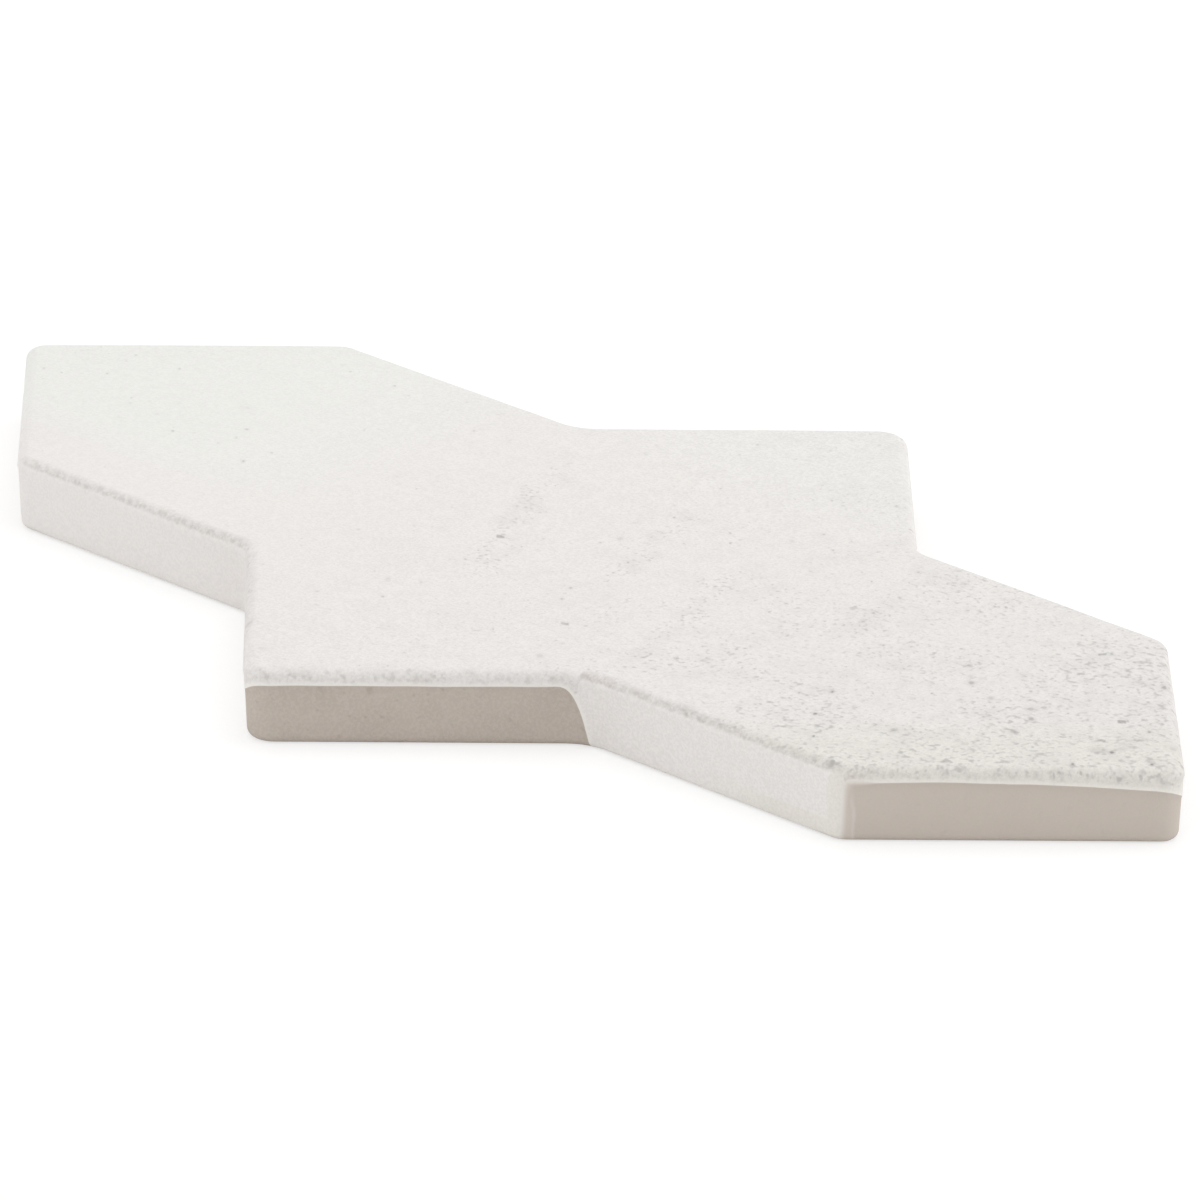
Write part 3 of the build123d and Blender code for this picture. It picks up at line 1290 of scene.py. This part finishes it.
@dataclass
class StarTile:
    """The tile itself: one fired piece, with its edge, face, glaze and keyed back."""

    outline: StarOutline
    section: EdgeSection
    glaze: GlazeLine
    back: KeyedBack = field(default_factory=KeyedBack)
    relief: FaceRelief = field(default_factory=FaceRelief)
    glaze_thickness: float = 0.08 * MM
    stain_at: float = 1.65 * MM
    stain_above_lip: float = 1.0 * MM
    stain_tighter: float = 0.4
    far: float = 3.0 * MM
    face_step: float = 1.0 * MM
    net_gap: float = 0.6
    coated_range: Range = (3.5 * MM, 6.0 * MM)
    glaze_step: Range = (-0.22 * MM, 0.10 * MM)
    sharp_angle: float = math.radians(38)
    name: str = "star_tile"

    @classmethod
    def from_frame(cls, node: str) -> "StarTile":
        """Takes the tile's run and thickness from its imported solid.

        Args:
            node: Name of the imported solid.

        Returns:
            The tile, ready to build.
        """
        _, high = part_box(node)
        radii = {
            Corner.END_TIP: 3.0 * MM,
            Corner.SHOULDER: 4.0 * MM,
            Corner.THROAT: 6.8 * MM,
            Corner.SIDE_TIP: 4.2 * MM,
        }
        run = (high.x + radii[Corner.END_TIP] * (ROOT_TWO - 1)) / (1 + ROOT_TWO)
        section = EdgeSection(high.z)
        return cls(StarOutline(run, radii), section, GlazeLine(high.z - section.heel / 4))

    def build(self) -> bpy.types.Object:
        """Builds the mesh of the tile.

        Returns:
            The tile's object, with two empty material places: skin and back.
        """
        track = self.outline.trace()
        rows = self.section.rows()
        rings, marks = self._edge(track, rows)
        count = len(track.points)
        face_points, face_faces = self._fill(rings[0], self.face_step)
        back_points, back_faces, back_heights = self._keyed(rings[-1])
        half = float(rings[:, :, 0].max())
        face_heights = np.full(len(face_points), self.section.thickness)
        flat = np.column_stack([face_points, face_heights])
        flat[:, 2] += self.relief.height(face_points) - self.relief.sag(face_points, half)
        keyed = np.column_stack([back_points, back_heights])
        points = np.concatenate([rings.reshape(-1, 3), flat, keyed])
        far = self.far
        nearest, depths = self._nearest(face_points, rings[0])
        on_face = {
            "glaze_edge": np.full(len(flat), far),
            "edge_soft": np.full(len(flat), self.glaze.crisp),
            "stain": marks["stain"][0][nearest] - depths,
            "film": np.full(len(flat), -far),
        }
        on_back = {"glaze_edge": -far, "edge_soft": self.glaze.crisp, "stain": far, "film": -far}
        faces = self._bands(len(rows), count)
        start = len(rows) * count
        faces += [tuple(self._joined(i, count, 0, start) for i in face) for face in face_faces]
        skin = len(faces)
        last, end = start - count, start + len(flat)
        faces += [tuple(self._joined(i, count, last, end) for i in face) for face in back_faces]
        mesh = bpy.data.meshes.new(self.name)
        mesh.from_pydata(points.tolist(), [], faces)
        for label, ring_values in marks.items():
            behind = np.full(len(keyed), on_back[label])
            values = np.concatenate([ring_values.ravel(), on_face[label], behind])
            layer = mesh.attributes.new(label, "FLOAT", "POINT")
            layer.data.foreach_set("value", (values / MM).astype(np.float32))
        mesh.polygons.foreach_set("material_index", [0] * skin + [1] * (len(faces) - skin))
        self._tidy(mesh)
        tile = bpy.data.objects.new(self.name, mesh)
        bpy.context.scene.collection.objects.link(tile)
        return tile

    def dress(self, tile: bpy.types.Object, glaze: bpy.types.Material, clay: bpy.types.Material) -> None:
        """Gives the skin its glaze and the back its clay."""
        tile.data.materials.append(glaze)
        tile.data.materials.append(clay)

    def _edge(self, track: Track, rows: list[Row]) -> tuple[np.ndarray, dict[str, np.ndarray]]:
        """Places every point of the edge.

        Args:
            track: The outline's columns.
            rows: The edge's rows.

        Returns:
            The points of each row, and what each point is marked with: how far it lies inside the
            glaze, how softly the glaze ends there, how far it lies below the middle of the stain, and
            how far it lies inside a film.
        """
        depth, soft, film = self.glaze.measure(track)
        wobble = self.relief.wobble(track)
        thickness = self.section.thickness
        half = float(track.points[:, 0].max())
        swell = self.relief.height(track.points)
        sag = self.relief.sag(track.points, half)
        lip_over = np.interp(depth, [thickness - row.height for row in rows], [row.over for row in rows])
        coated = smooth_step(depth, *self.coated_range)
        stain = (1 - coated) * (lip_over - self.stain_above_lip) + coated * self.stain_at
        line = self.glaze.line(track, depth, self.far)
        places = []
        marks: dict[str, list[np.ndarray]] = {"glaze_edge": [], "edge_soft": [], "stain": [], "film": []}
        for row in rows:
            lift = np.clip((row.height - thickness + self.section.arris) / self.section.arris, 0.0, 1.0)
            level = thickness - row.height
            gaps = np.array([line.find((travel, level, 0.0))[2] for travel in track.travel.tolist()])
            inside_by = np.clip(gaps, 0.0, self.far) * np.sign(depth - level)
            bare = 1.0 - smooth_step(inside_by, *self.glaze_step)
            roll = 4 * lift * (1 - lift)
            inset = row.inset + self.glaze_thickness * bare + roll * wobble
            plan = track.points - track.normals * np.maximum(inset, 0.0)[:, None]
            height = row.height + lift * swell - sag * row.height / thickness
            places.append(np.column_stack([plan, np.maximum(height, 0.0)]))
            marks["glaze_edge"].append(inside_by)
            marks["edge_soft"].append(soft)
            marks["stain"].append((row.over - stain) * (1 + self.stain_tighter * coated))
            marks["film"].append(film)
        return np.array(places), {label: np.array(values) for label, values in marks.items()}

    def _fill(self, ring: np.ndarray, step: float) -> tuple[np.ndarray, list[tuple[int, ...]]]:
        """Fills a ring with a fine net of triangles.

        Args:
            ring: The ring's points.
            step: Size of the net.

        Returns:
            The new points in plan, and triangles that count the ring's points first.
        """
        loop = ring[:, :2]
        low, high = loop.min(axis=0), loop.max(axis=0)
        xs = np.arange(low[0], high[0], step)
        ys = np.arange(low[1], high[1], step * math.sqrt(3) / 2)
        net = np.array([(x + (step / 2 if level % 2 else 0.0), y) for level, y in enumerate(ys) for x in xs])
        net = net[inside(net, loop)]
        net = net[self._nearest(net, ring)[1] > self.net_gap * step]
        return net, self._triangles(np.concatenate([loop, net]), [loop])

    def _keyed(self, ring: np.ndarray) -> tuple[np.ndarray, list[tuple[int, ...]], np.ndarray]:
        """Makes the keyed back inside the heel's last ring.

        Args:
            ring: The heel's last ring.

        Returns:
            The new points in plan, faces that count the ring's points first, and the points' heights.
        """
        loop = ring[:, :2]
        corners = np.array([place for _, place in self.outline.corners()])
        mouths = self.back.pockets(moved_in(corners, self.section.draft + self.back.rim))
        points = np.concatenate(mouths)
        faces = self._triangles(np.concatenate([loop, points]), [loop, *mouths])
        heights = [0.0] * len(points)
        start = len(loop)
        extra: list[np.ndarray] = []
        for mouth in mouths:
            floor = self.back.floor_of(mouth)
            count = len(mouth)
            below = len(loop) + len(points) + sum(len(e) for e in extra)
            for index in range(count):
                after = (index + 1) % count
                faces.append((start + index, start + after, below + after, below + index))
            faces.append(tuple(below + index for index in range(count)))
            extra.append(floor)
            heights += [self.back.depth] * count
            start += count
        return np.concatenate([points, *extra]), faces, np.array(heights)

    @staticmethod
    def _triangles(points: np.ndarray, loops: list[np.ndarray]) -> list[tuple[int, ...]]:
        """Triangles between a ring and what lies in it, leaving out the loops after the first.

        Args:
            points: Points in plan, those of the loops first and in order.
            loops: The ring, then any holes.

        Returns:
            The triangles.
        """
        edges, start = [], 0
        for loop in loops:
            edges += [(start + i, start + (i + 1) % len(loop)) for i in range(len(loop))]
            start += len(loop)
        verts = [Vector(place) for place in (points / MM).tolist()]
        made = geometry.delaunay_2d_cdt(verts, edges, [], 0, SAME_PLACE, True)
        origin = [source[0] for source in made[3]]
        triangles = np.array([[origin[i] for i in face] for face in made[2]])
        first, second, third = (points[triangles[:, corner]] for corner in range(3))
        centres = (first + second + third) / 3
        across, along = second - first, third - first
        area = np.abs(across[:, 0] * along[:, 1] - across[:, 1] * along[:, 0]) / 2
        kept = inside(centres, loops[0]) & (area > SLIVER)
        for hole in loops[1:]:
            kept &= ~inside(centres, hole)
        return [tuple(face) for face in triangles[kept].tolist()]

    @staticmethod
    def _nearest(points: np.ndarray, ring: np.ndarray) -> tuple[np.ndarray, np.ndarray]:
        """The nearest column of a ring to each point in plan, and its distance.

        Args:
            points: Points in plan.
            ring: The ring's points.

        Returns:
            Number and distance of the nearest column, for each point.
        """
        tree = plan_tree(ring[:, :2])
        found = [tree.find((x, y, 0.0)) for x, y in points.tolist()]
        return np.array([hit[1] for hit in found]), np.array([hit[2] for hit in found])

    @staticmethod
    def _bands(rows: int, count: int) -> list[tuple[int, ...]]:
        """Faces between neighbouring rows of the edge.

        Args:
            rows: Number of rows.
            count: Number of columns.

        Returns:
            The faces.
        """
        return [
            (row * count + column, (row + 1) * count + column,
             (row + 1) * count + (column + 1) % count, row * count + (column + 1) % count)
            for row in range(rows - 1)
            for column in range(count)
        ]

    @staticmethod
    def _joined(index: int, count: int, ring_start: int, new_start: int) -> int:
        """Number of a point in the whole mesh, for one counted from its ring."""
        return ring_start + index if index < count else new_start + index - count

    def _tidy(self, mesh: bpy.types.Mesh) -> None:
        """Turns all faces outward and shades the mesh smooth up to its sharp edges.

        Args:
            mesh: The tile's mesh.
        """
        work = bmesh.new()
        work.from_mesh(mesh)
        bmesh.ops.recalc_face_normals(work, faces=work.faces)
        work.to_mesh(mesh)
        work.free()
        mesh.shade_smooth()
        mesh.set_sharp_from_angle(angle=self.sharp_angle)


class Lamp(NamedTuple):
    """A large soft lamp that points at the tile.

    Attributes:
        name: Its name.
        place: Where it hangs.
        size: Width of its square panel.
        power: Its power in watts.
    """

    name: str
    place: tuple[float, float, float]
    size: float
    power: float


@dataclass
class Studio:
    """Pale floor, soft light and the camera that took the picture."""

    aim: Vector = field(default_factory=lambda: Vector((5.33 * MM, -2.08 * MM, 5.0 * MM)))
    azimuth: float = math.radians(-45.94)
    elevation: float = math.radians(21.80)
    roll: float = math.radians(0.73)
    distance: float = 1.711
    lens: float = 383.7
    sensor: float = 36.0
    ambient: float = 0.585
    floor_size: float = 6.0
    floor_white: Colour = (0.90, 0.90, 0.895)
    floor_glow: float = 1.25
    floor_share: float = 0.5
    floor_drop: float = 0.02 * MM
    clip_end: float = 50.0
    lamps: tuple[Lamp, ...] = (
        Lamp("overhead", (-0.25, 0.35, 1.5), 1.4, 7.2),
        Lamp("front_fill", (0.5, -1.4, 0.75), 1.2, 3.6),
        Lamp("right_side", (1.0, 1.0, 0.5), 1.0, 6.1),
        Lamp("left_side", (-1.0, -1.0, 0.5), 1.0, 2.4),
    )

    def camera(self) -> bpy.types.Object:
        """Sets up the camera.

        Returns:
            The camera.
        """
        away = Vector((
            math.cos(self.elevation) * math.cos(self.azimuth),
            math.cos(self.elevation) * math.sin(self.azimuth),
            math.sin(self.elevation),
        ))
        level = Vector((0.0, 0.0, 1.0)).cross(away).normalized()
        rise = away.cross(level)
        right = level * math.cos(self.roll) + rise * math.sin(self.roll)
        up = away.cross(right)
        turn = Matrix((right, up, away)).transposed().to_4x4()
        data = bpy.data.cameras.new("camera")
        data.lens, data.sensor_width = self.lens, self.sensor
        data.clip_end = self.clip_end
        made = bpy.data.objects.new("camera", data)
        made.matrix_world = Matrix.Translation(self.aim + away * self.distance) @ turn
        bpy.context.scene.collection.objects.link(made)
        bpy.context.scene.camera = made
        return made

    def hang(self, lamp: Lamp) -> bpy.types.Object:
        """Hangs one lamp, turned to the tile.

        Args:
            lamp: The lamp to hang.

        Returns:
            The lamp's object.
        """
        data = bpy.data.lights.new(lamp.name, "AREA")
        data.size, data.energy = lamp.size, lamp.power
        made = bpy.data.objects.new(lamp.name, data)
        made.location = lamp.place
        made.rotation_euler = (self.aim - Vector(lamp.place)).to_track_quat("-Z", "Y").to_euler()
        bpy.context.scene.collection.objects.link(made)
        return made

    def floor(self) -> bpy.types.Object:
        """Lays the floor, white to the camera and still able to take a shadow.

        Returns:
            The floor.
        """
        half = self.floor_size / 2
        mesh = bpy.data.meshes.new("floor")
        corners = [(-half, -half, 0.0), (half, -half, 0.0), (half, half, 0.0), (-half, half, 0.0)]
        mesh.from_pydata(corners, [], [(0, 1, 2, 3)])
        made = bpy.data.objects.new("floor", mesh)
        made.location.z = -self.floor_drop
        bpy.context.scene.collection.objects.link(made)
        material, wiring = open_material("floor_white")
        matt = wiring.fill(wiring.node("ShaderNodeBsdfDiffuse"), Color=self.floor_white)
        glow = wiring.fill(wiring.node("ShaderNodeEmission"), Strength=self.floor_glow)
        both = wiring.node("ShaderNodeMixShader")
        wiring.feed(both.inputs[0], self._seen(wiring) * self.floor_share)
        for socket, shader in zip(both.inputs[1:], (matt, glow)):
            wiring.feed(socket, Value(wiring, shader.outputs[0]))
        wiring.close(both)
        mesh.materials.append(material)
        return made

    def world(self) -> None:
        """Surrounds the tile with even light, and shows the camera plain white."""
        made = bpy.data.worlds.new("studio")
        made.use_nodes = True
        bpy.context.scene.world = made
        wiring = Wiring(made.node_tree)
        strength = self._seen(wiring).span(0.0, 1.0, self.ambient, 1.0)
        light = wiring.fill(wiring.node("ShaderNodeBackground"), Color=(1.0, 1.0, 1.0), Strength=strength)
        wiring.close(light, "ShaderNodeOutputWorld")

    @staticmethod
    def _seen(wiring: Wiring) -> Value:
        """1 for what the camera sees, straight or in a reflection, and 0 for light on surfaces.

        Args:
            wiring: Wiring of the floor or the world.

        Returns:
            The mask.
        """
        path = wiring.outputs(wiring.node("ShaderNodeLightPath"))
        mirrored = path["Is Glossy Ray"].larger(path["Is Transmission Ray"])
        return path["Is Camera Ray"].larger(mirrored)

    def set_up(self) -> None:
        """Builds the whole studio."""
        bpy.context.scene.view_settings.view_transform = "Standard"
        self.world()
        self.floor()
        for lamp in self.lamps:
            self.hang(lamp)
        self.camera()


def main() -> None:
    """Builds the tile and its studio."""
    logging.basicConfig(level=logging.INFO, format="%(name)s: %(message)s")
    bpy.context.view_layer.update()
    effects = Effects()
    glaze, clay = GlazeFinish(), ClayFinish()
    tile = StarTile.from_frame("tile")
    piece = tile.build()
    tile.dress(piece, glaze.material(effects), clay.material(effects))
    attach(piece, "root")
    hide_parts("tile")
    LOG.info("%s: %d points, %d faces", piece.name, len(piece.data.vertices), len(piece.data.polygons))
    Studio().set_up()
    LOG.info("studio: floor, lamps and camera")


if __name__ == "__main__":
    main()
